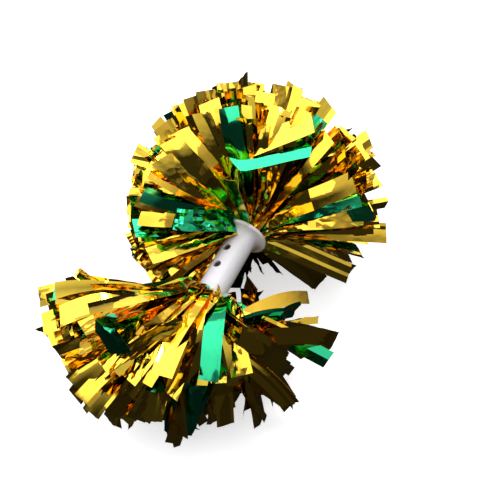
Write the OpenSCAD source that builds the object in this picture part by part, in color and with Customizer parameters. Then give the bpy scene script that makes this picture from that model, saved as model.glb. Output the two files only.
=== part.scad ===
// Straight-handled cheer pom: a flanged tube handle with a film tassel held in the mouth at each end.
// Frame: the handle's axis runs along X at axis_h above the resting plane, +X is the upper tassel's end.
// Each tassel is a ring of skirt hanks round a ring of crown hanks, all fanned from one tied root.

/* [Handle] */
// Length of the handle over its two flange faces
handle_len = 86; // [80:1:110]
// Outside diameter of the grip tube
tube_d = 26; // [24:1:32]
// Wall thickness of the grip tube
wall = 2; // [1.5:0.5:3]
// Outside diameter of each end flange
flange_d = 44; // [44:1:52]
// Thickness of each flange at its rim
flange_t = 3.5; // [3:0.5:5]
// Radius of the hollow curve between tube and flange
fillet_r = 7.5; // [5:0.5:8]
// Radius of the trumpet curve inside each mouth
mouth_r = 7; // [5:0.5:8]
// Diameter of the two side holes
side_hole_d = 7.5; // [4:0.5:9]
// Distance from the upper flange face to the first side hole
side_hole_x = 26; // [22:1:30]
// Distance between the two side holes
side_hole_pitch = 19.5; // [14:0.5:24]
// Turn of the side holes from straight up, towards +Y
side_hole_turn = 24; // [0:1:90]

/* [Cord and ties] */
// Diameter of the tie cord
cord_d = 3; // [2:0.5:4]
// Diameter of the knot at each end of the cord
knot_d = 8; // [6:0.5:9]
// Radius of the cord's loop through the fold of a tassel, at the cord's middle
loop_r = 4.5; // [4:0.5:5]
// Diameter of a tassel's tied root
root_d = 17; // [15:0.5:18]
// Width of the strap tied round each root
strap_w = 4; // [2.5:0.5:4.5]
// Thickness of that strap
strap_t = 1.2; // [0.8:0.2:1.6]

/* [Tassels] */
// Height of the handle's axis above the resting plane
axis_h = 104; // [98:1:110]
// Place of the handle's middle along X, so that the whole pom is centred
handle_x = -11; // [-20:1:5]
// Radius of the upper tassel's ball
upper_r = 120; // [110:1:128]
// Distance of that ball's centre beyond the mouth
upper_offset = 33; // [25:1:40]
// Distance of that ball's centre to the +Y side
upper_lean = 5; // [0:1:10]
// Rise of the upper tassel above the handle's axis
upper_rise = 112; // [100:1:120]
// Radius of the lower tassel's dome
lower_r = 132; // [115:1:136]
// Distance of that dome's centre beyond the mouth
lower_offset = -2; // [-8:1:30]
// Distance of that dome's centre to the +Y side
lower_lean = 7; // [0:1:12]
// Rise that the lower tassel's dome would have above the handle's axis if it were whole
lower_rise = 88; // [80:1:110]
// Number of skirt hanks round each tassel
skirt_count = 8; // [6:1:8]
// Width of one skirt hank, in degrees round the axis
skirt_width = 25; // [15:1:30]
// Number of crown hanks round each tassel
crown_count = 5; // [4:1:6]
// Width of one crown hank, in degrees round the axis
crown_width = 40; // [20:1:50]

/* [Hidden] */
TITLES = ["upper", "lower"];

eps = 0.01;
bore_d = tube_d - 2 * wall;
mouth_x = handle_len / 2;
rim_round = 1.2;
loop_x = mouth_x - 6;
cord_gap = 0.5;
loop_clear = 0.5;
knot_x = loop_x - loop_r - knot_d / 2;
root_back = 4.5;
root_out = 9;
root_round = 3;
strap_x = mouth_x + 3.5;
strap_gap = 0.1;
lock_w = 5.5;
lock_h = 4;
crown_from = 7;
crown_to = 40;
skirt_from = 46;
arc_step = 6;
sink = 2;
fold_angle = 102;
fold_reach = 0.45;
tuck_reach = 0.55;
skirt_root_r = 12;
skirt_root_x = mouth_x + 10;
crown_root_r = 4;
crown_root_x = mouth_x + 12;

// How far the hanks fan out from a tassel's own axis: mean angle, swing either way, the side it leans to, least angle
upper_fan = [102, 36, -5, 66];
lower_fan = [80, 20, 228, 60];

// A tassel is described by [ball radius, centre's distance beyond the mouth, centre's lean to +Y, rise, fan]
UPPER = [upper_r, upper_offset, upper_lean, upper_rise, upper_fan];
LOWER = [lower_r, lower_offset, lower_lean, lower_rise, lower_fan];

function fan_angle(tassel, phi) =
    let (fan = tassel[4])
    max(fan[3], fan[0] + fan[1] * cos(phi - fan[2]));
function half_height(tassel, phi) = sin(phi) > 0 ? tassel[3] : axis_h + sink;
function flattening(tassel, phi) =
    1 / sqrt(pow(cos(phi), 2) + pow(sin(phi) * tassel[0] / half_height(tassel, phi), 2));
function reach(tassel, phi, theta) =
    let (toward = tassel[1] * cos(theta) + tassel[2] * sin(theta) * cos(phi))
    toward + sqrt(pow(tassel[0], 2) - pow(tassel[1], 2) - pow(tassel[2], 2) + pow(toward, 2));

// A point of the hank's section: part of the way from the mouth to the strip ends, theta off the axis
function section_point(tassel, phi, theta, part = 1) = [
    part * reach(tassel, phi, theta) * sin(theta) * flattening(tassel, phi),
    mouth_x + part * reach(tassel, phi, theta) * cos(theta)
];
function tip_arc(tassel, phi, from, to) =
    let (steps = ceil((to - from) / arc_step))
    [for (i = [0 : steps]) section_point(tassel, phi, from + (to - from) * i / steps)];
// The inner side of a hank that folds back over the flange
function fold_points(tassel, phi, theta) =
    theta <= fold_angle ? [] : [
        section_point(tassel, phi, theta, tuck_reach),
        section_point(tassel, phi, fold_angle, fold_reach)
    ];

// Turns a shape drawn round Z into a tassel's frame: Z along the tassel's own axis, X towards +Y
module at_end(title) {
    translate([handle_x, 0, axis_h])
        mirror([title == "lower" ? 1 : 0, 0, 0])
            rotate([90, 0, 90])
                children();
}

module above_ground() {
    span = 6 * max(upper_r, lower_r);
    intersection() {
        children();
        translate([-span / 2, -span / 2, 0])
            cube(span);
    }
}

module half_handle_section() {
    neck_x = mouth_x - flange_t - fillet_r;
    difference() {
        union() {
            square([tube_d / 2, mouth_x]);
            translate([0, mouth_x - flange_t])
                flange_rim();
            translate([0, neck_x])
                square([tube_d / 2 + fillet_r, fillet_r + eps]);
        }
        translate([tube_d / 2 + fillet_r, neck_x])
            circle(r = fillet_r, $fn = 64);
        translate([-eps, -eps])
            square([bore_d / 2 + eps, mouth_x + 2 * eps]);
        mouth_flare();
    }
}

// The flange's rim, with its two edges rounded
module flange_rim() {
    r = flange_d / 2;
    square([r - rim_round, flange_t]);
    translate([0, rim_round])
        square([r, flange_t - 2 * rim_round]);
    for (y = [rim_round, flange_t - rim_round])
        translate([r - rim_round, y])
            circle(r = rim_round, $fn = 32);
}

// The space that the trumpet mouth opens beyond the bore
module mouth_flare() {
    difference() {
        translate([0, mouth_x - mouth_r])
            square([bore_d / 2 + mouth_r, mouth_r + eps]);
        translate([bore_d / 2 + mouth_r, mouth_x - mouth_r])
            circle(r = mouth_r, $fn = 64);
    }
}

module side_holes() {
    for (i = [0, 1])
        translate([mouth_x - side_hole_x - i * side_hole_pitch, 0, 0])
            rotate([-side_hole_turn, 0, 0])
                cylinder(h = tube_d, d = side_hole_d, $fn = 48);
}

module handle_tube() {
    color("whitesmoke")
        translate([handle_x, 0, axis_h])
            difference() {
                rotate([90, 0, 90])
                    rotate_extrude($fn = 96)
                        union() {
                            half_handle_section();
                            mirror([0, 1])
                                half_handle_section();
                        }
                side_holes();
            }
}

module tie_cord() {
    half = knot_x - knot_d / 2 - cord_gap;
    color("ivory")
        translate([handle_x - half, 0, axis_h])
            rotate([0, 90, 0])
                cylinder(h = 2 * half, d = cord_d, $fn = 32);
}

// The cord's loop lies flat, so that its axis is the one that the tassel sways about
module cord_loop(d) {
    translate([0, 0, loop_x])
        rotate([90, 0, 0])
            rotate_extrude($fn = 64)
                translate([loop_r, 0])
                    circle(d = d, $fn = 32);
}

module cord_knot(title) {
    color("ivory")
        at_end(title)
            union() {
                translate([0, 0, knot_x])
                    sphere(d = knot_d, $fn = 48);
                cord_loop(cord_d);
            }
}

module root(title) {
    back = loop_x - root_back;
    length = mouth_x + root_out - back;
    color("goldenrod")
        at_end(title)
            difference() {
                translate([0, 0, back])
                    rotate_extrude($fn = 64) {
                        translate([0, root_round])
                            square([root_d / 2, length - root_round]);
                        square([root_d / 2 - root_round, length]);
                        translate([root_d / 2 - root_round, root_round])
                            intersection() {
                                circle(r = root_round, $fn = 48);
                                translate([0, -root_round])
                                    square(root_round);
                            }
                    }
                cord_loop(cord_d + 2 * loop_clear);
                translate([0, 0, back])
                    cylinder(h = 2 * root_round, d = 2 * loop_r + cord_d + 1, center = true, $fn = 48);
            }
}

// A locking strap: a flat band round the root, with its lock on the outside
module root_strap(title) {
    inner = root_d / 2 + strap_gap;
    color("whitesmoke")
        at_end(title)
            translate([0, 0, strap_x])
                difference() {
                    union() {
                        cylinder(h = strap_w, r = inner + strap_t, $fn = 64);
                        translate([0, -lock_w / 2, 0])
                            cube([inner + lock_h, lock_w, strap_w]);
                    }
                    translate([0, 0, -eps])
                        cylinder(h = strap_w + 2 * eps, r = inner, $fn = 64);
                }
}

module hank(title, phi, width, section) {
    color(phi % 90 == 0 ? "goldenrod" : "seagreen")
        above_ground()
            at_end(title)
                rotate([0, 0, phi - width / 2])
                    rotate_extrude(angle = width, $fn = 96)
                        polygon(section);
}

module skirt_hank(title, i) {
    tassel = title == "upper" ? UPPER : LOWER;
    phi = i * 360 / skirt_count;
    theta = fan_angle(tassel, phi);
    section = concat(
        [[skirt_root_r, skirt_root_x]],
        [[skirt_root_r, skirt_root_x + skirt_root_r / 2]],
        tip_arc(tassel, phi, skirt_from, theta),
        fold_points(tassel, phi, theta)
    );
    hank(title, phi, skirt_width, section);
}

module crown_hank(title, i) {
    tassel = title == "upper" ? UPPER : LOWER;
    phi = 90 + i * 360 / crown_count;
    section = concat(
        [[crown_root_r, crown_root_x]],
        tip_arc(tassel, phi, crown_from, crown_to)
    );
    hank(title, phi, crown_width, section);
}

handle_tube();
tie_cord();
for (t = TITLES) {
    cord_knot(t);
    root(t);
    root_strap(t);
    for (i = [1 : skirt_count])
        skirt_hank(t, i - 1);
    for (i = [1 : crown_count])
        crown_hank(t, i - 1);
}
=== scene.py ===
import math
import random

import bmesh
import bpy
from mathutils import Matrix, Vector, geometry, noise


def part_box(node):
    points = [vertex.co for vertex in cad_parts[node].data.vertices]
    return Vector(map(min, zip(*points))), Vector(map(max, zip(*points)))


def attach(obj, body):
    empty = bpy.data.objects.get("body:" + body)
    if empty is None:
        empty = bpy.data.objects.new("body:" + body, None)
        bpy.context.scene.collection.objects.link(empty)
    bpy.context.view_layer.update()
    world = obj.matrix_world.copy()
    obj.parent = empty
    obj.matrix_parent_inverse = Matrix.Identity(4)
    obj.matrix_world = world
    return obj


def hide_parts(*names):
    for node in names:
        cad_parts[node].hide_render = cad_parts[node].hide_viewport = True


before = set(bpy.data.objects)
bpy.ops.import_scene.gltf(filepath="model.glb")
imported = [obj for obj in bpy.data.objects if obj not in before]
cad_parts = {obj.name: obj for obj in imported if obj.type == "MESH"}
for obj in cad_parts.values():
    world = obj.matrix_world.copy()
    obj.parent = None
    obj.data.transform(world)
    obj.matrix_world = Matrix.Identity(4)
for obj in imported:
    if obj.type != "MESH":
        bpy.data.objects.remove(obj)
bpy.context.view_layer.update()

# ---------------------------------------------------------------- driving sizes, in metres and degrees

TUBE_LOW, TUBE_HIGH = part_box("handle_tube")
MIDDLE_X = (TUBE_LOW.x + TUBE_HIGH.x) / 2
MOUTH = (TUBE_HIGH.x - TUBE_LOW.x) / 2
AXIS_Z = (TUBE_LOW.z + TUBE_HIGH.z) / 2
FLANGE_R = (TUBE_HIGH.z - TUBE_LOW.z) / 2

STRIP_WIDTH = 0.019
FILM_THICKNESS = 0.0001
STRIP_ROWS = 22
STRIP_COLUMNS = 6
ROOT_RADIUS = 0.0065
ROOT_FOLD = math.radians(84)
FLOOR_GAP = 0.0012
CREASE_ANGLE = math.radians(14)
ALONG = Vector((1, 0, 0))

SKIRTS = 8
CROWNS = 5
# Degrees off the tassel's axis where the crown hanks end and the skirt hanks begin
SKIRT_FROM = 42
# The share of strips left standing in the parting, and how far past the ball a placed strip may reach
LEFT_STANDING = 0.08
FURTHEST = 1.03
# How a strip's degrees round (less the first) become degrees round the lower flange that it laps
LAP_FROM, LAP_SPREAD, FIRST_ROUND = 52, 0.68, 18
LAP_BULGE = 0.014
# The strips that lap the flange below: how many, from where round it, and the step
COLLAR_COUNT, COLLAR_FROM, COLLAR_STEP = 7, 215, 26
# The loose curled strip: its degrees off the axis and round it, how far out it leaves the others, and the way
# from there to its end and the way its end points
STRAY_THETA, STRAY_PHI, STRAY_SHARE = 62, 42, 0.45
STRAY_RUN = Vector((0.0066, 0.068, 0.0153))
STRAY_CURL = Vector((-0.004, 0.018, 0.0075))

# The way that the strips part round, and the two ways that the broad side of a strip may look
STANDING = Vector((-0.49, -0.23, 0.84)).normalized()
TOP = STANDING
LIGHT = Vector((-0.3, 0.2, 0.93))

# Each tassel: which end it is on, how far its ball leans to +Y and rises, how far its strips fan out (mean,
# swing, the side it leans to, least) and at most below, how far they part round the standing way, how many it
# has in a unit of solid angle, the share of green ones, the way they look and how far they roll from it, how
# much their ends fold down, how often they are creased across, how far they droop and how long they are.
# A place on a tassel is given as degrees round the standing way from +Y, degrees down from it, and
# millimetres from the mouth.
# "cover": how many lie open on top, the ranges of their places, and how much shorter they are far round.
# "front": the first and last degrees round, the step, where the longest lies, degrees down, the longest in
# millimetres, how much shorter per degree away from it, and how far every second one is folded.
TASSELS = {
    "upper": {"side": 1, "lean": 0.005, "rise": 0.112, "fan": (102, 36, -5, 66), "below": 84,
              "parting": 64, "fullness": 54, "green": 0.06, "face": LIGHT, "roll": 0.7,
              "hang": (-10, 12), "creases": (0, 0, 0, 1), "droop": (-0.04, 0.16), "shares": (0.9, 1.03),
              "cover": (15, (8, 88), (59, 66), (108, 128), 0),
              "front": (-35, 155, 8, 70, 64, 142, 0.35, 15)},
    "lower": {"side": -1, "lean": 0.007, "rise": 0.088, "fan": (80, 20, 228, 60), "below": 100,
              "parting": 60, "fullness": 62, "green": 0.07, "face": TOP, "roll": 1.0,
              "hang": (35, 85), "creases": (0, 1, 1, 2), "droop": (0.2, 0.8), "shares": (0.86, 1.06),
              "cover": (22, (12, 165), (48, 57), (102, 126), 0.32),
              "front": (20, 190, 9, 20, 52, 130, 0.55, 20)},
}

# The tilt in degrees of each facet of a strip, from edge to edge
BROAD, HALVED, FLAT = (7, 7, 7, -5, -5, -5), (30, 30, 30, -38, -38, -38), (0, 0, 0, 0, 6, 6)

# The strips that stand out one by one: tassel, colour, place of the tip, place of a sharp bend on the way
# there or None, the way that the broad side looks, tilts of the facets, crumple, and how soon it spreads
FEATURE_STRIPS = [
    ("upper", "green", (0, 60, 120), None, LIGHT, HALVED, 0.0, 1.5),
    ("upper", "green", (-10, 50, 80), None, TOP, FLAT, 0.8, 1.8),
    ("upper", "gold", (100, 60, 130), (70, 55, 90), LIGHT, FLAT, 0.0, 1.4),
    ("upper", "green", (110, 60, 120), (60, 50, 80), LIGHT, BROAD, 0.1, 1.6),
    ("upper", "green", (-100, 140, 80), None, LIGHT, FLAT, 0.0, 1.0),
    ("lower", "green", (20, 70, 140), None, LIGHT, HALVED, 0.0, 1.2),
    ("lower", "green", (50, 40, 110), (30, 40, 130), LIGHT, BROAD, 0.0, 2.0),
    ("lower", "green", (120, 40, 90), None, LIGHT, FLAT, 0.0, 2.0),
    ("lower", "green", (180, 80, 120), None, TOP, HALVED, 0.0, 1.0),
]


def hank_names(title):
    skirts = [f"{title}_skirt_hank_{i + 1}" for i in range(SKIRTS)]
    crowns = [f"{title}_crown_hank_{i + 1}" for i in range(CROWNS)]
    return skirts, crowns


def measure_tassel(title):
    """The ball that a tassel's strips end on, read from the boxes of its hanks."""
    tassel = TASSELS[title]
    boxes = [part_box(name) for names in hank_names(title) for name in names]
    low = Vector(min(b[0][k] for b in boxes) for k in range(3))
    high = Vector(max(b[1][k] for b in boxes) for k in range(3))
    far_x = high.x if tassel["side"] > 0 else low.x
    tassel["radius"] = max(high.y - tassel["lean"], tassel["lean"] - low.y)
    tassel["offset"] = abs(far_x - MIDDLE_X) - MOUTH - tassel["radius"]


# ---------------------------------------------------------------- node helpers

def new_material(name):
    material = bpy.data.materials.new(name)
    material.use_nodes = True
    nodes = material.node_tree.nodes
    return material, nodes, material.node_tree.links, nodes["Principled BSDF"]


def add(nodes, kind, **values):
    """A node of that kind; values set its properties or, for sockets, its inputs by name."""
    node = nodes.new(kind)
    for key, value in values.items():
        if hasattr(node, key):
            setattr(node, key, value)
        else:
            node.inputs[key.replace("_", " ")].default_value = value
    return node


def group_socket(group, name, way, kind="NodeSocketFloat", default=None):
    socket = group.interface.new_socket(name=name, in_out=way, socket_type=kind)
    if default is not None:
        socket.default_value = default
    return socket


def math_node(nodes, links, operation, a, b=None):
    node = nodes.new("ShaderNodeMath")
    node.operation = operation
    for socket, value in zip(node.inputs, (a, b)):
        if value is None:
            continue
        if isinstance(value, (int, float)):
            socket.default_value = value
        else:
            links.new(value, socket)
    return node.outputs[0]


def colour_mix(nodes, links, factor, first, second):
    mix = nodes.new("ShaderNodeMix")
    mix.data_type = "RGBA"
    mix.inputs["A"].default_value = (*first, 1)
    mix.inputs["B"].default_value = (*second, 1)
    links.new(factor, mix.inputs["Factor"])
    return mix.outputs["Result"]


# ---------------------------------------------------------------- camera, light and floor

def look_basis(azimuth, elevation):
    """Forward, right and up of a camera that looks down by elevation, turned azimuth from +Y."""
    a, e = math.radians(azimuth), math.radians(elevation)
    forward = Vector((-math.sin(a) * math.cos(e), math.cos(a) * math.cos(e), -math.sin(e)))
    right = Vector((math.cos(a), math.sin(a), 0))
    return forward, right, right.cross(forward)


VIEW_AZIMUTH = -64.5
VIEW_ELEVATION = 57
VIEW_ANGLE = math.radians(22)
VIEW_DISTANCE = 1.17
# Where the upper mouth sits in the view: this far left of its middle and above it
MOUTH_LEFT, MOUTH_ABOVE = 0.005, 0.0142


def add_camera():
    forward, right, up = look_basis(VIEW_AZIMUTH, VIEW_ELEVATION)
    target = Vector((MIDDLE_X + MOUTH, 0, AXIS_Z)) + right * MOUTH_LEFT - up * MOUTH_ABOVE
    data = bpy.data.cameras.new("camera")
    data.angle = VIEW_ANGLE
    data.clip_end = 20
    camera = bpy.data.objects.new("camera", data)
    basis = Matrix((right, up, -forward)).transposed().to_4x4()
    camera.matrix_world = Matrix.Translation(target - forward * VIEW_DISTANCE) @ basis
    bpy.context.scene.collection.objects.link(camera)
    bpy.context.scene.camera = camera


# Softboxes: the way to each from the pom (right, up, towards the camera), distance, width, height, brightness
SOFTBOXES = {
    "key": ((-0.46, 0.52, 0.72), 1.7, 2.9, 2.3, 1.25),
    "back": ((0.15, 0.90, -0.30), 1.8, 1.8, 0.9, 0.9),
    "right_fill": ((0.95, 0.20, 0.25), 1.8, 0.6, 1.4, 0.6),
    "lamp": ((0.25, 0.70, 0.66), 1.9, 0.3, 0.5, 18.0),
}


def add_softbox(name, way, distance, width, height, brightness):
    forward, right, up = look_basis(VIEW_AZIMUTH, VIEW_ELEVATION)
    heart = Vector((0, 0, AXIS_Z))
    way = (right * way[0] + up * way[1] - forward * way[2]).normalized()
    data = bpy.data.lights.new(name, "AREA")
    data.shape = "RECTANGLE"
    data.size, data.size_y = width, height
    data.energy = brightness * math.pi * width * height
    light = bpy.data.objects.new(name, data)
    light.location = heart + way * distance
    light.rotation_euler = (-way).to_track_quat("-Z", "Y").to_euler()
    light.visible_camera = False
    bpy.context.scene.collection.objects.link(light)


# The way from the pom to the lighter side of the room: overhead, and beyond the pom as it is looked at
LIGHTER_SIDE = (0.40, 0.19, 0.90)


def add_world():
    """A white backdrop to look at, and a dim room, lighter on one side, for the film to mirror."""
    world = bpy.data.worlds.new("studio")
    bpy.context.scene.world = world
    world.use_nodes = True
    nodes, links = world.node_tree.nodes, world.node_tree.links
    nodes.clear()
    place = nodes.new("ShaderNodeTexCoord")
    towards = add(nodes, "ShaderNodeVectorMath", operation="DOT_PRODUCT")
    links.new(place.outputs["Generated"], towards.inputs[0])
    towards.inputs[1].default_value = LIGHTER_SIDE
    height = add(nodes, "ShaderNodeMapRange", From_Min=0.15, From_Max=0.85, To_Min=0.0, To_Max=1.0)
    links.new(towards.outputs["Value"], height.inputs["Value"])
    room = nodes.new("ShaderNodeBackground")
    tone = colour_mix(nodes, links, height.outputs["Result"], (0.03, 0.03, 0.03), (0.92, 0.92, 0.94))
    links.new(tone, room.inputs["Color"])
    backdrop = add(nodes, "ShaderNodeBackground", Color=(1, 1, 1, 1), Strength=1.0)
    path = nodes.new("ShaderNodeLightPath")
    mix = nodes.new("ShaderNodeMixShader")
    out = nodes.new("ShaderNodeOutputWorld")
    links.new(path.outputs["Is Camera Ray"], mix.inputs[0])
    links.new(room.outputs[0], mix.inputs[1])
    links.new(backdrop.outputs[0], mix.inputs[2])
    links.new(mix.outputs[0], out.inputs[0])


def add_floor():
    """Pale to look at, but dark where the film mirrors it, as on a small lit table in a dim room."""
    bm = bmesh.new()
    bmesh.ops.create_grid(bm, x_segments=1, y_segments=1, size=3)
    mesh = bpy.data.meshes.new("floor")
    bm.to_mesh(mesh)
    bm.free()
    floor = bpy.data.objects.new("floor", mesh)
    bpy.context.scene.collection.objects.link(floor)
    material = bpy.data.materials.new("pale_floor")
    material.use_nodes = True
    nodes, links = material.node_tree.nodes, material.node_tree.links
    nodes.clear()
    path = nodes.new("ShaderNodeLightPath")
    seen = add(nodes, "ShaderNodeBsdfDiffuse", Color=(0.9, 0.9, 0.9, 1))
    glow = add(nodes, "ShaderNodeEmission", Color=(1, 1, 1, 1), Strength=0.6)
    lit = nodes.new("ShaderNodeAddShader")
    mirrored = add(nodes, "ShaderNodeBsdfDiffuse", Color=(0.015, 0.015, 0.015, 1))
    mix = nodes.new("ShaderNodeMixShader")
    out = nodes.new("ShaderNodeOutputMaterial")
    links.new(seen.outputs[0], lit.inputs[0])
    links.new(glow.outputs[0], lit.inputs[1])
    links.new(path.outputs["Is Camera Ray"], mix.inputs[0])
    links.new(mirrored.outputs[0], mix.inputs[1])
    links.new(lit.outputs[0], mix.inputs[2])
    links.new(mix.outputs[0], out.inputs[0])
    mesh.materials.append(material)


# ---------------------------------------------------------------- materials

def crinkle_group():
    """The surface of handled film: faint ripples everywhere, sharp-edged cells where it is crumpled."""
    group = bpy.data.node_groups.new("film crinkle", "ShaderNodeTree")
    group_socket(group, "Vector", "INPUT", "NodeSocketVector")
    group_socket(group, "Cells per metre", "INPUT", default=190.0)
    group_socket(group, "Crumple", "INPUT", default=0.5)
    group_socket(group, "Height", "OUTPUT")
    nodes, links = group.nodes, group.links
    given, out = nodes.new("NodeGroupInput"), nodes.new("NodeGroupOutput")
    where = given.outputs["Vector"]
    cells = add(nodes, "ShaderNodeTexVoronoi", feature="F1", distance="EUCLIDEAN")
    links.new(given.outputs["Cells per metre"], cells.inputs["Scale"])
    links.new(where, cells.inputs["Vector"])
    patch = add(nodes, "ShaderNodeTexNoise", Scale=30.0, Detail=1.0)
    links.new(where, patch.inputs["Vector"])
    patches = add(nodes, "ShaderNodeMapRange", From_Min=0.48, From_Max=0.66, To_Min=0.0, To_Max=0.55)
    links.new(patch.outputs["Fac"], patches.inputs["Value"])
    amount = math_node(nodes, links, "ADD", patches.outputs["Result"], given.outputs["Crumple"])
    folds = math_node(nodes, links, "MULTIPLY", cells.outputs["Distance"], amount)
    ripple = add(nodes, "ShaderNodeTexNoise", Scale=70.0, Detail=2.0)
    links.new(where, ripple.inputs["Vector"])
    ripples = math_node(nodes, links, "MULTIPLY", ripple.outputs["Fac"], 0.5)
    links.new(math_node(nodes, links, "ADD", folds, ripples), out.inputs["Height"])
    return group


def film_material(name, pale, deep, crinkle):
    """Mirror-bright metallised film: the tint varies from strip to strip, and each is finely creased."""
    material, nodes, links, shader = new_material(name)
    shader.inputs["Metallic"].default_value = 1.0
    shader.inputs["Coat Weight"].default_value = 0.35
    shader.inputs["Coat Roughness"].default_value = 0.03
    tone = add(nodes, "ShaderNodeAttribute", attribute_name="tone")
    links.new(colour_mix(nodes, links, tone.outputs["Fac"], pale, deep), shader.inputs["Base Color"])
    uv = nodes.new("ShaderNodeUVMap")
    crumple = add(nodes, "ShaderNodeAttribute", attribute_name="crumple")
    creases = nodes.new("ShaderNodeGroup")
    creases.node_tree = crinkle
    links.new(uv.outputs["UV"], creases.inputs["Vector"])
    links.new(crumple.outputs["Fac"], creases.inputs["Crumple"])
    bump = add(nodes, "ShaderNodeBump", Strength=0.42, Distance=0.0009)
    links.new(creases.outputs["Height"], bump.inputs["Height"])
    links.new(bump.outputs["Normal"], shader.inputs["Normal"])
    wear = add(nodes, "ShaderNodeTexNoise", Scale=45.0, Detail=4.0)
    links.new(uv.outputs["UV"], wear.inputs["Vector"])
    rough = add(nodes, "ShaderNodeMapRange", From_Min=0.35, From_Max=0.75, To_Min=0.05, To_Max=0.16)
    links.new(wear.outputs["Fac"], rough.inputs["Value"])
    links.new(rough.outputs["Result"], shader.inputs["Roughness"])
    return material


def root_material(gold, green):
    """The tied root: pleated film edges of both colours, running along the axis."""
    material, nodes, links, shader = new_material("gathered_film")
    shader.inputs["Metallic"].default_value = 1.0
    shader.inputs["Coat Weight"].default_value = 0.5
    place = nodes.new("ShaderNodeTexCoord")
    stretch = nodes.new("ShaderNodeMapping")
    stretch.inputs["Scale"].default_value = (12, 420, 420)
    links.new(place.outputs["Object"], stretch.inputs["Vector"])
    streaks = add(nodes, "ShaderNodeTexNoise", Scale=1.0, Detail=3.0)
    links.new(stretch.outputs["Vector"], streaks.inputs["Vector"])
    share = add(nodes, "ShaderNodeMapRange", From_Min=0.52, From_Max=0.56)
    links.new(streaks.outputs["Fac"], share.inputs["Value"])
    links.new(colour_mix(nodes, links, share.outputs["Result"], gold, green), shader.inputs["Base Color"])
    bump = add(nodes, "ShaderNodeBump", Strength=0.8, Distance=0.001)
    links.new(streaks.outputs["Fac"], bump.inputs["Height"])
    links.new(bump.outputs["Normal"], shader.inputs["Normal"])
    shader.inputs["Roughness"].default_value = 0.18
    return material


def handle_material():
    """Moulded white plastic, faintly translucent, with a fine grain and a few soft scuffs."""
    material, nodes, links, shader = new_material("moulded_white_plastic")
    shader.inputs["Subsurface Weight"].default_value = 0.15
    shader.inputs["Subsurface Radius"].default_value = (0.006, 0.005, 0.005)
    place = nodes.new("ShaderNodeTexCoord")
    cloud = add(nodes, "ShaderNodeTexNoise", Scale=55.0, Detail=4.0)
    links.new(place.outputs["Object"], cloud.inputs["Vector"])
    tint = colour_mix(nodes, links, cloud.outputs["Fac"], (0.78, 0.77, 0.83), (0.84, 0.83, 0.88))
    links.new(tint, shader.inputs["Base Color"])
    rough = add(nodes, "ShaderNodeMapRange", From_Min=0.3, From_Max=0.7, To_Min=0.34, To_Max=0.46)
    links.new(cloud.outputs["Fac"], rough.inputs["Value"])
    links.new(rough.outputs["Result"], shader.inputs["Roughness"])
    grain = add(nodes, "ShaderNodeTexNoise", Scale=900.0, Detail=3.0)
    links.new(place.outputs["Object"], grain.inputs["Vector"])
    bump = add(nodes, "ShaderNodeBump", Strength=0.1, Distance=0.0003)
    links.new(grain.outputs["Fac"], bump.inputs["Height"])
    links.new(bump.outputs["Normal"], shader.inputs["Normal"])
    return material


def cord_material():
    """Twisted white cord: slanting strands with a fibrous surface, with painted shade in the grooves between
    them.
    """
    material, nodes, links, shader = new_material("twisted_cord")
    shader.inputs["Roughness"].default_value = 0.85
    shader.inputs["Sheen Weight"].default_value = 0.3
    place = nodes.new("ShaderNodeTexCoord")
    turn = nodes.new("ShaderNodeMapping")
    turn.inputs["Rotation"].default_value = (0, math.radians(40), math.radians(40))
    links.new(place.outputs["Object"], turn.inputs["Vector"])
    strands = add(nodes, "ShaderNodeTexWave", Scale=130.0, Distortion=1.5)
    links.new(turn.outputs["Vector"], strands.inputs["Vector"])
    # Painted shade: the colour darkens where the strands' bump is low, in the grooves between them
    tint = colour_mix(nodes, links, strands.outputs["Fac"], (0.55, 0.53, 0.48), (0.85, 0.83, 0.78))
    links.new(tint, shader.inputs["Base Color"])
    bump = add(nodes, "ShaderNodeBump", Strength=0.7, Distance=0.0006)
    links.new(strands.outputs["Fac"], bump.inputs["Height"])
    links.new(bump.outputs["Normal"], shader.inputs["Normal"])
    return material


def strap_material():
    """Natural nylon: milky, with the fine teeth of a locking strap across it and painted shade between the
    teeth.
    """
    material, nodes, links, shader = new_material("nylon_strap")
    shader.inputs["Roughness"].default_value = 0.45
    shader.inputs["Subsurface Weight"].default_value = 0.2
    shader.inputs["Subsurface Radius"].default_value = (0.003, 0.003, 0.002)
    place = nodes.new("ShaderNodeTexCoord")
    teeth = add(nodes, "ShaderNodeTexWave", Scale=220.0, bands_direction="DIAGONAL")
    links.new(place.outputs["Object"], teeth.inputs["Vector"])
    # Painted shade: the colour darkens where the teeth's bump is low, between the teeth
    tint = colour_mix(nodes, links, teeth.outputs["Fac"], (0.70, 0.69, 0.64), (0.86, 0.85, 0.81))
    links.new(tint, shader.inputs["Base Color"])
    bump = add(nodes, "ShaderNodeBump", Strength=0.4, Distance=0.0003)
    links.new(teeth.outputs["Fac"], bump.inputs["Height"])
    links.new(bump.outputs["Normal"], shader.inputs["Normal"])
    return material


# ---------------------------------------------------------------- where a strip runs

def smooth_step(x):
    x = min(1, max(0, x))
    return x * x * (3 - 2 * x)


def fan_limit(tassel, phi):
    mean, swing, lean, least = tassel["fan"]
    limit = max(least, mean + swing * math.cos(math.radians(phi - lean)))
    straight_down = 1 - abs((phi % 360) - 270) / 45
    return min(limit, tassel["below"]) if straight_down > 0 else limit


def outward(phi):
    return Vector((0, math.cos(math.radians(phi)), math.sin(math.radians(phi))))


def flattening(tassel, phi):
    """How much the ball is squashed on that side: by the table below, and by its own weight above."""
    side = outward(phi)
    height = tassel["rise"] if side.z > 0 else AXIS_Z
    return 1 / math.hypot(side.y, side.z * tassel["radius"] / height)


def reach(tassel, theta, phi):
    """From the mouth to the ball, theta off the tassel's axis and phi round it."""
    t = math.radians(theta)
    toward = tassel["offset"] * math.cos(t) + tassel["lean"] * math.sin(t) * outward(phi).y
    ball = tassel["radius"] ** 2 - tassel["offset"] ** 2 - tassel["lean"] ** 2
    return toward + math.sqrt(ball + toward ** 2)


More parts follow.
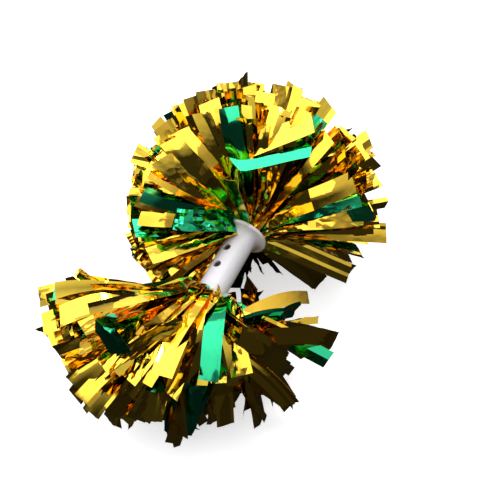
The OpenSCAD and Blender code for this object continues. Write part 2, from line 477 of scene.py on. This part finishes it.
def direction(tassel, theta, phi):
    t = math.radians(theta)
    return ALONG * math.cos(t) + outward(phi) * flattening(tassel, phi) * math.sin(t)


def bearing(way):
    """The angles off a tassel's axis and round it, of a direction in the tassel's own frame."""
    return math.degrees(math.acos(way.normalized().x)), math.degrees(math.atan2(way.z, way.y))


def in_tassel(tassel, way):
    return Vector((tassel["side"] * way.x, way.y, way.z))


def end_of_strip(tassel, theta, phi, share):
    return ALONG * MOUTH + direction(tassel, theta, phi) * reach(tassel, theta, phi) * share


def strip_root(phi, rng):
    side = outward(phi + rng.uniform(-25, 25)) * ROOT_RADIUS * rng.uniform(0.3, 1)
    return ALONG * (MOUTH - 0.001) + side, side


def strip_path(tassel, theta, phi, share, rng):
    """The middle line of a strip: out of the mouth, round its flare, then nearly straight to its cut end."""
    root, side = strip_root(phi, rng)
    tip = end_of_strip(tassel, theta, phi, share)
    back = max(0, theta - 88) / 50
    early = root + ALONG * (0.013 + 0.016 * back) + side * 0.6
    way = direction(tassel, theta + 30 * back, phi).normalized()
    droop = Vector((0, 0, -1)) * rng.uniform(*tassel["droop"])
    late = tip - (way + droop).normalized() * (tip - root).length * rng.uniform(0.5, 0.62)
    return geometry.interpolate_bezier(root, early, late, tip, STRIP_ROWS + 1)


def bent_path(points, rows):
    """Nearly straight runs of film from point to point, each run with its share of the rows."""
    softness = 0.35
    path = [points[0]]
    for (start, end), count in zip(zip(points, points[1:]), rows):
        run = (end - start) * softness
        path += geometry.interpolate_bezier(start, start + run, end - run, end, count + 1)[1:]
    return path


def lapped_start(flange_phi, rng):
    """Out of the mouth and back over the flange, hiding it: the first third of a strip."""
    root, side = strip_root(flange_phi, rng)
    rim = outward(flange_phi) * (FLANGE_R + rng.uniform(0.0025, 0.0055))
    turn = ALONG * (MOUTH - rng.uniform(0.004, 0.0075)) + rim
    lap = ALONG * LAP_BULGE
    late = turn + lap + rim * 0.1
    return geometry.interpolate_bezier(root, root + lap + side, late, turn, STRIP_ROWS // 3 + 1)


def arched_run(start, tip, up, rows, first=0.85, forward=0.0):
    """From start to tip: rising first, then lying flat over the strips below."""
    climb = up * (tip - start).dot(up)
    flat = tip - start - climb
    early = start + climb * first + flat * 0.1 + ALONG * forward
    return geometry.interpolate_bezier(start, early, start + climb * 1.06 + flat * 0.55, tip, rows + 1)


def lapped_path(tassel, flange_phi, tip, rng):
    """A strip that first laps back over the flange and then falls forward over the others."""
    start = lapped_start(flange_phi, rng)
    up = in_tassel(tassel, STANDING) if math.sin(math.radians(flange_phi)) > 0 else outward(flange_phi)
    return start[:-1] + arched_run(start[-1], tip, up, STRIP_ROWS - STRIP_ROWS // 3)


def stray_path(tassel, theta, phi, share, rng):
    """A single strip that has worked loose: it leaves the others half way and curls up on its own."""
    root, side = strip_root(phi, rng)
    leave = end_of_strip(tassel, theta, phi, share)
    half = STRIP_ROWS // 2
    way = (leave - root).normalized()
    first = geometry.interpolate_bezier(root, root + ALONG * 0.012, leave - way * 0.02, leave, half + 1)
    end = leave + STRAY_RUN
    late = end - STRAY_CURL
    second = geometry.interpolate_bezier(leave, leave + way * 0.03, late, end, STRIP_ROWS - half + 1)
    return first[:-1] + second


def to_place(tassel, points):
    return [Vector((MIDDLE_X + tassel["side"] * p.x, p.y, AXIS_Z + p.z)) for p in points]


def strip_frames(points, wide, roll=0):
    """Each point with its width direction and its normal, turned by roll."""
    frames = []
    last = len(points) - 1
    for i, point in enumerate(points):
        tangent = (points[min(i + 1, last)] - points[max(i - 1, 0)]).normalized()
        wide = (wide - tangent * wide.dot(tangent)).normalized()
        across = Matrix.Rotation(roll, 3, tangent) @ wide
        frames.append((point, across, tangent.cross(across)))
    return frames


def roll_to_face(points, wide, face):
    """The roll that turns a strip's broad side towards face, half way along it."""
    _, across, normal = strip_frames(points, wide)[len(points) // 2]
    return math.atan2(-face.dot(across), face.dot(normal))


def fold_across(frames, folds, slant):
    """Folds a strip sharply across its width: all beyond the crease turns about it."""
    for at, angle in folds:
        k = round(at * STRIP_ROWS)
        pivot, across, normal = frames[k]
        crease = (across + across.cross(normal) * slant * at).normalized()
        turn = Matrix.Rotation(math.radians(angle), 3, crease)
        beyond = [(pivot + turn @ (p - pivot), turn @ a, turn @ n) for p, a, n in frames[k + 1:]]
        frames = frames[:k + 1] + beyond
    return frames


# ---------------------------------------------------------------- film strips

def pleat_section(tilts):
    """Points across a strip, (sideways, up) in strip widths, from the tilt of each of its facets."""
    section = [(0.0, 0.0)]
    for tilt in tilts:
        x, h = section[-1]
        section.append((x + math.cos(tilt) / len(tilts), h + math.sin(tilt) / len(tilts)))
    middle_x = section[-1][0] / 2
    middle_h = sum(h for _, h in section) / len(section)
    return [(x - middle_x, h - middle_h) for x, h in section]


def random_facets(rng):
    """Tilts of an opened strip's facets: a few shallow folds along it, or one that nearly doubles it."""
    kind = rng.random()
    if kind < 0.18:
        fold = rng.uniform(52, 78)
        column = rng.choice((2, 3, 4))
        return [fold] * column + [-fold] * (STRIP_COLUMNS - column)
    lines = sorted(rng.sample(range(1, STRIP_COLUMNS), rng.choice((1, 2, 3))))
    sign = rng.choice((-1, 1))
    steepest = 12 if kind < 0.7 else 34
    tilts = []
    for start, stop in zip([0] + lines, lines + [STRIP_COLUMNS]):
        tilts += [sign * rng.uniform(2, steepest)] * (stop - start)
        sign = -sign
    return tilts


def random_folds(rng, tassel, way):
    """The fold that lets a strip's end hang, least on the +Y side, and creases, sharper further out."""
    share = min(1, max(0, 0.5 - way.y))
    hanging = (rng.uniform(0.45, 0.7), share * rng.uniform(*tassel["hang"]))
    places = [rng.uniform(0.35, 0.93) for _ in range(rng.choice(tassel["creases"]))]
    return sorted([hanging] + [(at, rng.uniform(-1, 1) * (8 + 50 * at ** 3)) for at in places])


class Strip:
    """How one strip of film lies: its roll, its folds, its crumple and its colour tone."""

    def __init__(self, rng, roll, folds=(), facets=None, crumple=None, spread=1.0):
        self.roll = roll
        self.folds = folds
        self.straight = facets == HALVED
        self.facets = [math.radians(a) for a in (random_facets(rng) if facets is None else facets)]
        self.crumple = max(0, rng.uniform(-0.9, 0.8)) if crumple is None else crumple
        self.gathers = [sign * rng.uniform(0.75, 1) for sign in (1, -1) * (STRIP_COLUMNS // 2)]
        self.open_from, self.open_by = 0.03, rng.uniform(0.14, 0.3) / spread
        self.slant = rng.uniform(-0.3, 0.3)
        self.tone = rng.random()
        self.seed = Vector((rng.uniform(0, 50), rng.uniform(0, 50), 0))

    def section(self, v):
        opening = smooth_step((v - self.open_from) / (self.open_by - self.open_from))
        pairs = zip(self.gathers, self.facets)
        return pleat_section([g * ROOT_FOLD * (1 - opening) + f * opening for g, f in pairs])

    def waviness(self, u, v):
        """Small lift of the surface: soft waves, and deep ones where the strip is crumpled."""
        wave = noise.noise(Vector((u * 1.5, v * 7, 0)) + self.seed) * 0.0007
        crumpled = noise.noise(Vector((u * 4, v * 26, 3)) + self.seed) * 0.0034 * self.crumple
        return (wave + crumpled) * smooth_step(v / self.open_by)


def add_strip(bm, layers, path, strip, wide):
    """Lays one strip of film along a path: pleated tight at its root, opening out in flat facets."""
    uv_layer, tone_layer, crumple_layer = layers
    frames = fold_across(strip_frames(path, wide, strip.roll), strip.folds, strip.slant)
    sections = [strip.section(row / STRIP_ROWS) for row in range(STRIP_ROWS + 1)]
    length = sum((b - a).length for a, b in zip(path, path[1:]))
    made = bmesh.ops.create_grid(bm, x_segments=STRIP_COLUMNS, y_segments=STRIP_ROWS, size=0.5, calc_uvs=True)
    for vert in made["verts"]:
        u, v = vert.co.x, vert.co.y + 0.5
        row, column = round(v * STRIP_ROWS), round((u + 0.5) * STRIP_COLUMNS)
        point, across, normal = frames[row]
        sideways, lift = (STRIP_WIDTH * k for k in sections[row][column])
        skew = across.cross(normal) * u * v * STRIP_WIDTH * strip.slant
        vert.co = point + across * sideways + normal * (lift + strip.waviness(u, v)) + skew
        vert.co.z = max(vert.co.z, FLOOR_GAP + 0.002 * abs(noise.noise(vert.co * 90)))
        vert[tone_layer] = strip.tone
        vert[crumple_layer] = strip.crumple
    faces = {face for vert in made["verts"] for face in vert.link_faces}
    for face in faces:
        for loop in face.loops:
            uv = loop[uv_layer].uv
            loop[uv_layer].uv = Vector((uv.x * STRIP_WIDTH, uv.y * length)) + strip.seed.xy
    return length


class StripPack:
    """The gold strips or the green strips of one hank, gathered into one piece."""

    def __init__(self, node, colour):
        self.node, self.colour = node, colour
        self.bm = bmesh.new()
        floats = self.bm.verts.layers.float
        self.layers = (self.bm.loops.layers.uv.new("UVMap"), floats.new("tone"), floats.new("crumple"))
        self.lengths = []

    def lay(self, path, strip, phi):
        self.lengths.append(add_strip(self.bm, self.layers, path, strip, outward(phi + 90)))

    def finish(self, material, body):
        if not self.lengths:
            self.bm.free()
            return
        bmesh.ops.triangulate(self.bm, faces=self.bm.faces[:], quad_method="SHORT_EDGE")
        bmesh.ops.solidify(self.bm, geom=self.bm.faces[:], thickness=FILM_THICKNESS)
        bmesh.ops.recalc_face_normals(self.bm, faces=self.bm.faces[:])
        name = f"{self.node}_{self.colour}_strips"
        mesh = bpy.data.meshes.new(name)
        self.bm.to_mesh(mesh)
        self.bm.free()
        mesh.shade_smooth()
        mesh.set_sharp_from_angle(angle=CREASE_ANGLE)
        mesh.materials.append(material)
        piece = bpy.data.objects.new(name, mesh)
        bpy.context.scene.collection.objects.link(piece)
        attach(piece, body)
        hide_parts(self.node)


# ---------------------------------------------------------------- tassels

def solid_angle(theta_from, theta_to, phi_width):
    band = math.cos(math.radians(theta_from)) - math.cos(math.radians(theta_to))
    return band * math.radians(phi_width)


def lay_hank(tassel, node, phi_middle, phi_width, thetas, rng, packs):
    """Fills one hank's share of the ball with strips, evenly over its surface."""
    theta_from, theta_to = thetas
    count = round(tassel["fullness"] * solid_angle(theta_from, theta_to, phi_width))
    low, high = math.cos(math.radians(theta_to)), math.cos(math.radians(theta_from))
    for _ in range(count):
        theta = math.degrees(math.acos(rng.uniform(low, high)))
        phi = phi_middle + rng.uniform(-0.5, 0.5) * phi_width
        colour = "green" if rng.random() < tassel["green"] else "gold"
        if stands_up(tassel, theta, phi) and rng.random() > LEFT_STANDING:
            continue
        path = to_place(tassel, strip_path(tassel, theta, phi, rng.uniform(*tassel["shares"]), rng))
        roll = roll_to_face(path, outward(phi + 90), tassel["face"]) + rng.uniform(-1, 1) * tassel["roll"]
        folds = random_folds(rng, tassel, direction(tassel, theta, phi))
        packs[node, colour].lay(path, Strip(rng, roll, folds), phi)


def stands_up(tassel, theta, phi):
    way = direction(tassel, theta, phi)
    return math.degrees(way.angle(in_tassel(tassel, STANDING))) < tassel["parting"]


def hank_at(title, theta, phi):
    """The name of the hank that a strip belongs to."""
    skirts, crowns = hank_names(title)
    if theta < SKIRT_FROM:
        return crowns[round((phi - 90) * CROWNS / 360) % CROWNS]
    return skirts[round(phi * SKIRTS / 360) % SKIRTS]


def lay_collar(title, rng, packs):
    """Strips of the lower tassel that lap back over the under side of the flange."""
    tassel = TASSELS[title]
    for i in range(COLLAR_COUNT):
        phi = COLLAR_FROM + COLLAR_STEP * i
        theta = max(35, fan_limit(tassel, phi) - rng.uniform(5, 20))
        path = lapped_path(tassel, phi, end_of_strip(tassel, theta, phi, rng.uniform(0.66, 0.8)), rng)
        strip = Strip(rng, roll=0, facets=random_facets(rng), crumple=0.3, spread=2)
        packs[hank_at(title, theta, phi), "gold"].lay(to_place(tassel, path), strip, phi)


def lay_stray_strip(title, rng, packs):
    tassel = TASSELS[title]
    path = to_place(tassel, stray_path(tassel, STRAY_THETA, STRAY_PHI, STRAY_SHARE, rng))
    strip = Strip(rng, 0.6, [], (66, 66, 66, -66, -66, -66), 0.6)
    packs[hank_at(title, STRAY_THETA, STRAY_PHI), "gold"].lay(path, strip, STRAY_PHI)


def fallen_way(tassel, round_by, down_by):
    """In the tassel's frame: down from the standing way, round it from the +Y side towards the far end."""
    standing = in_tassel(tassel, STANDING)
    towards_y = (Vector((0, 1, 0)) - standing * standing.y).normalized()
    forward = standing.cross(towards_y)
    forward *= math.copysign(1, forward.x)
    turn, fall = math.radians(round_by), math.radians(down_by)
    sideways = towards_y * math.cos(turn) + forward * math.sin(turn)
    return standing * math.cos(fall) + sideways * math.sin(fall)


def spot_in_tassel(tassel, round_by, down_by, millimetres):
    """A place on a tassel, drawn in to just outside the ball if it would be further out."""
    way = fallen_way(tassel, round_by, down_by)
    theta, phi = bearing(way)
    longest = direction(tassel, theta, phi).length * reach(tassel, theta, phi) * FURTHEST
    return ALONG * MOUTH + way * min(millimetres / 1000, longest)


def share_rows(rows, ends):
    return (rows,) if len(ends) == 1 else (rows // 2, rows - rows // 2)


def placed_path(tassel, tip, bend, straight, rng):
    """From the mouth, or for the lower tassel from the flange, to the tip, perhaps by way of a sharp bend."""
    ends = [spot_in_tassel(tassel, *spot) for spot in (bend, tip) if spot]
    phi = bearing(ends[-1] - ALONG * MOUTH)[1]
    if tassel["side"] < 0:
        flange_phi = LAP_FROM + LAP_SPREAD * (tip[0] - FIRST_ROUND)
        if not (bend or straight):
            return lapped_path(tassel, flange_phi, ends[-1], rng), flange_phi
        start = lapped_start(flange_phi, rng)
        rows = STRIP_ROWS - STRIP_ROWS // 3
        return start[:-1] + bent_path([start[-1], *ends], share_rows(rows, ends)), flange_phi
    root, _ = strip_root(phi, rng)
    if bend:
        return bent_path([root, *ends], share_rows(STRIP_ROWS, ends)), phi
    return arched_run(root, ends[0], STANDING, STRIP_ROWS, first=0.3, forward=0.024), phi


def lay_fallen(title, packs, colour, tip, bend, face, strip, rng):
    """Lays a strip to a place on the tassel, its broad side turned to face."""
    tassel = TASSELS[title]
    path, root_phi = placed_path(tassel, tip, bend, strip.straight, rng)
    theta, phi = bearing(path[-1] - ALONG * MOUTH)
    path = to_place(tassel, path)
    strip.roll += roll_to_face(path, outward(root_phi + 90), face)
    packs[hank_at(title, theta, phi), colour].lay(path, strip, root_phi)


def lay_cover(title, rng, packs):
    """Broad gold strips that lie open on top, where the light catches them."""
    count, rounds, downs, lengths, shortening = TASSELS[title]["cover"]
    for _ in range(count):
        round_by = rng.uniform(*rounds)
        shorter = 1 - shortening * smooth_step((round_by - 50) / 45)
        tip = (round_by, rng.uniform(*downs), rng.uniform(*lengths) * shorter)
        folds = [(rng.uniform(0.6, 0.9), rng.uniform(-12, 30))]
        facets = random_facets(rng) if rng.random() < 0.4 else BROAD
        strip = Strip(rng, rng.uniform(-0.25, 0.25), folds, facets, rng.choice((0.1, 0.25, 0.45)), 1.8)
        lay_fallen(title, packs, "gold", tip, None, LIGHT, strip, rng)


def lay_front(title, rng, packs):
    """Broad strips at an even step round the front, every fifth one green, shorter away from the longest."""
    first, last, step, longest_at, down, longest, fall, fold = TASSELS[title]["front"]
    for i, round_by in enumerate(range(first, last, step)):
        tip = (round_by, down + 4 * (i % 3 - 1), longest - fall * abs(round_by - longest_at))
        colour = "green" if i % 5 == 2 else "gold"
        folds = [(0.7, fold)] if i % 2 else []
        strip = Strip(rng, 0, folds, (BROAD, HALVED, FLAT)[i % 3], (0.0, 0.1, 0.3)[i % 3], 1.5)
        lay_fallen(title, packs, colour, tip, None, (LIGHT, TOP)[i % 2], strip, rng)


def lay_feature_strips(title, rng, packs):
    for owner, colour, tip, bend, face, facets, crumple, spread in FEATURE_STRIPS:
        if owner == title:
            strip = Strip(rng, 0, [], facets, crumple, spread)
            lay_fallen(title, packs, colour, tip, bend, face, strip, rng)


def build_tassel(title, films, rng):
    measure_tassel(title)
    tassel = TASSELS[title]
    skirts, crowns = hank_names(title)
    packs = {(node, colour): StripPack(node, colour) for node in skirts + crowns for colour in films}
    for i, node in enumerate(skirts):
        phi = i * 360 / SKIRTS
        lay_hank(tassel, node, phi, 360 / SKIRTS, (SKIRT_FROM, fan_limit(tassel, phi)), rng, packs)
    for i, node in enumerate(crowns):
        phi = 90 + i * 360 / CROWNS
        lay_hank(tassel, node, phi, 360 / CROWNS, (0, SKIRT_FROM), rng, packs)
    if title == "lower":
        lay_collar(title, rng, packs)
        lay_stray_strip(title, rng, packs)
    lay_cover(title, rng, packs)
    lay_front(title, rng, packs)
    lay_feature_strips(title, rng, packs)
    for (node, colour), pack in packs.items():
        pack.finish(films[colour], f"{title}_tassel")


# ---------------------------------------------------------------- build

def repaint(node, material):
    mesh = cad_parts[node].data
    mesh.materials.clear()
    mesh.materials.append(material)


def build():
    add_camera()
    for name, box in SOFTBOXES.items():
        add_softbox(name, *box)
    add_world()
    add_floor()
    bpy.context.scene.view_settings.view_transform = "Standard"
    crinkle = crinkle_group()
    gold, green = (0.98, 0.69, 0.06), (0.035, 0.74, 0.33)
    films = {
        "gold": film_material("gold_film", gold, (0.93, 0.57, 0.04), crinkle),
        "green": film_material("green_film", green, (0.01, 0.46, 0.20), crinkle),
    }
    repaint("handle_tube", handle_material())
    root, cord, strap = root_material(gold, green), cord_material(), strap_material()
    repaint("tie_cord", cord)
    rng = random.Random(11)
    for title in TASSELS:
        build_tassel(title, films, rng)
        repaint(f"{title}_root", root)
        repaint(f"{title}_cord_knot", cord)
        repaint(f"{title}_root_strap", strap)


build()
